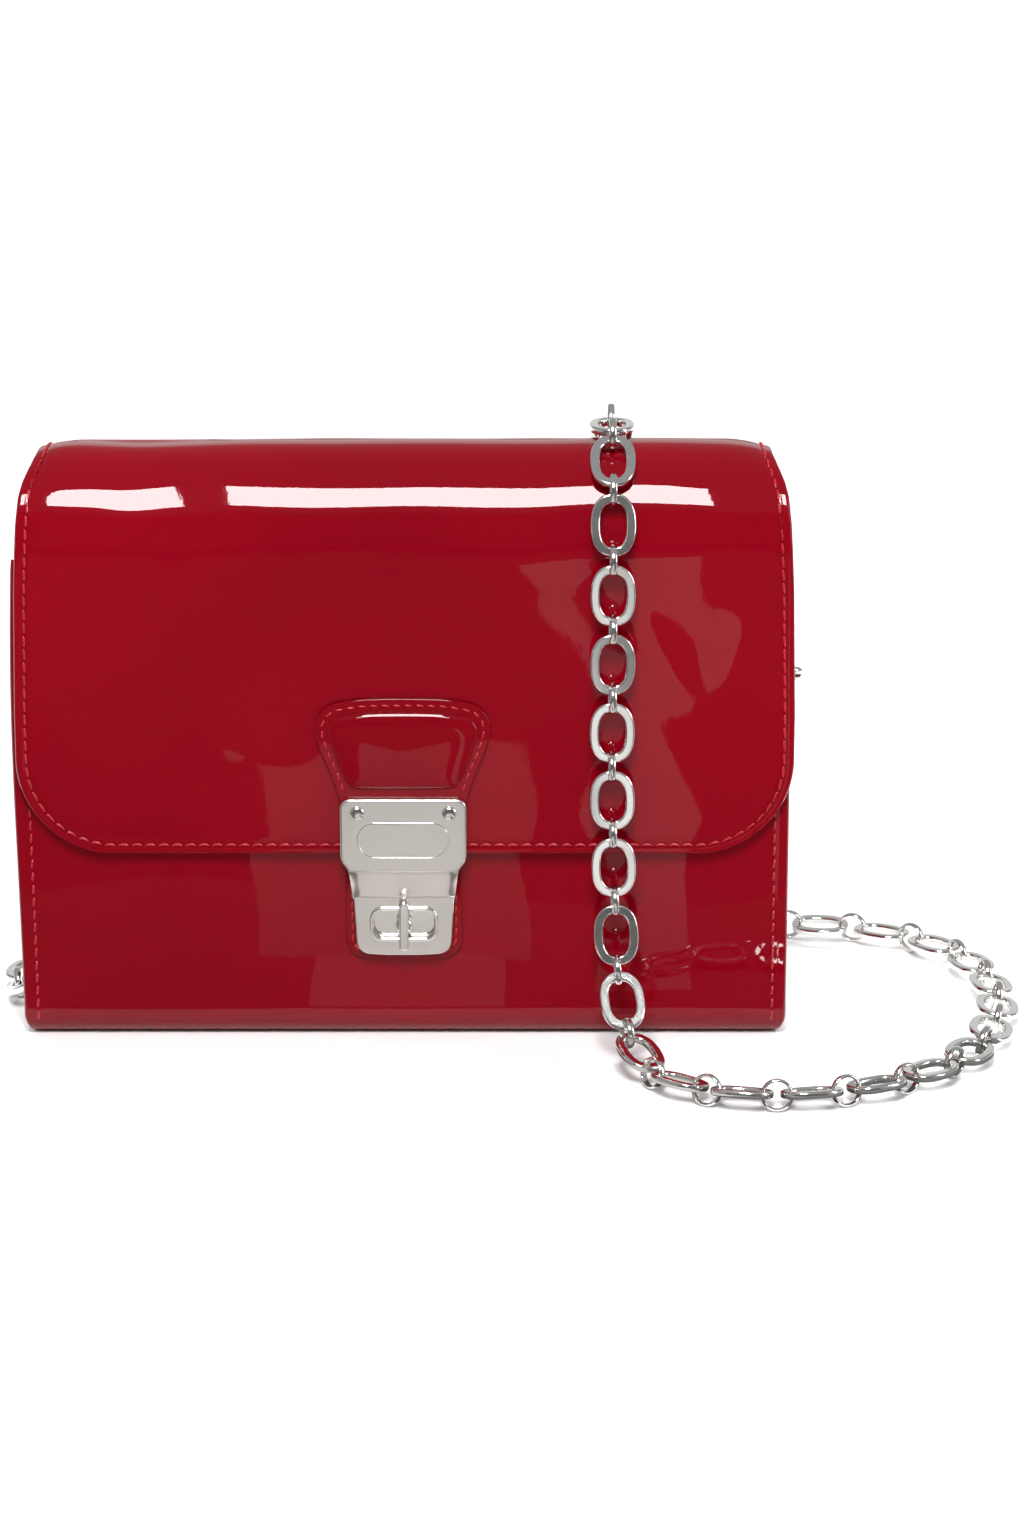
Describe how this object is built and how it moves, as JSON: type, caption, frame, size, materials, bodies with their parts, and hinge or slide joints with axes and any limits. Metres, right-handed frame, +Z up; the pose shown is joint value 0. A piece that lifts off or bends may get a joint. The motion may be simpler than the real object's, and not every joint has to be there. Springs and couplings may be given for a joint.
{
  "type": "clutch purse",
  "caption": "Flap-top clutch purse in glossy leather with a turn-lock hasp on the front, folded side gussets and a metal chain shoulder strap.",
  "frame": {"origin": "under the middle of the bag, at the level of the surface it stands on, without its chain strap", "axes": "+Z up, the front with its lock faces -Y, +X to the right seen from the front"},
  "size_m": [0.3143, 0.167, 0.189],
  "materials": {
    "patent_leather": "high-gloss patent coat over smooth red leather",
    "gusset_leather": "glossy red leather, creased at the fold",
    "lining_leather": "fine matt red leather",
    "lining_fabric": "fine red woven lining",
    "stiffener_board": "pressed grey fibre board",
    "padding_foam": "closed-cell foam, hidden",
    "polished_nickel": "polished nickel plate",
    "backing_steel": "plain steel, hidden",
    "chain_steel": "polished silver-coloured chain"
  },
  "bodies": {
    "root": {"back_panel": "patent_leather", "front_panel": "patent_leather", "base_panel": "patent_leather", "gusset_left": "gusset_leather", "gusset_right": "gusset_leather", "back_board": "stiffener_board", "front_board": "stiffener_board", "base_board": "stiffener_board", "back_lining": "lining_fabric", "front_lining": "lining_fabric", "base_lining": "lining_fabric", "gusset_lining_left": "lining_fabric", "gusset_lining_right": "lining_fabric", "slip_pocket": "lining_fabric", "lock_patch": "patent_leather", "lock_base_plate": "polished_nickel", "lock_backing_plate": "backing_steel", "ring_tab_left": "gusset_leather", "ring_tab_right": "gusset_leather", "chain_links_left": "chain_steel", "chain_rings_left": "chain_steel", "chain_links_floor": "chain_steel", "chain_rings_floor": "chain_steel", "chain_links_drape": "chain_steel", "chain_rings_drape": "chain_steel", "chain_links_back": "chain_steel", "chain_rings_back": "chain_steel"},
    "flap": {"flap_outer": "patent_leather", "flap_board": "stiffener_board", "flap_lining": "lining_leather", "flap_tab": "patent_leather", "tab_padding": "padding_foam", "hasp_plate": "polished_nickel", "slot_frame": "polished_nickel", "hasp_rivets": "polished_nickel", "rivet_backing_plate": "backing_steel"},
    "turn_bar": {"lock_spindle": "polished_nickel", "turn_bar": "polished_nickel"},
    "d_ring_left": {"d_ring_left": "polished_nickel"},
    "d_ring_right": {"d_ring_right": "polished_nickel"}
  },
  "joints": [
    {"name": "flap_hinge", "type": "hinge", "parent": "root", "child": "flap", "pos_m": [0, 0.0267, 0.1696], "axis": [-1, 0, 0], "range_deg": [0, 120], "deforming": ["chain_links_drape", "chain_rings_drape", "chain_links_back", "chain_rings_back"]},
    {"name": "lock_turn", "type": "hinge", "parent": "root", "child": "turn_bar", "pos_m": [0, -0.0184, 0.0375], "axis": [0, 1, 0], "range_deg": [0, 90]},
    {"name": "ring_left_swing", "type": "hinge", "parent": "root", "child": "d_ring_left", "pos_m": [-0.107, 0.0041, 0.1445], "axis": [0, 1, 0], "range_deg": [-5, 20], "deforming": ["chain_links_left", "chain_rings_left"]},
    {"name": "ring_right_swing", "type": "hinge", "parent": "root", "child": "d_ring_right", "pos_m": [0.107, 0.0041, 0.1445], "axis": [0, -1, 0], "range_deg": [-5, 20]}
  ]
}
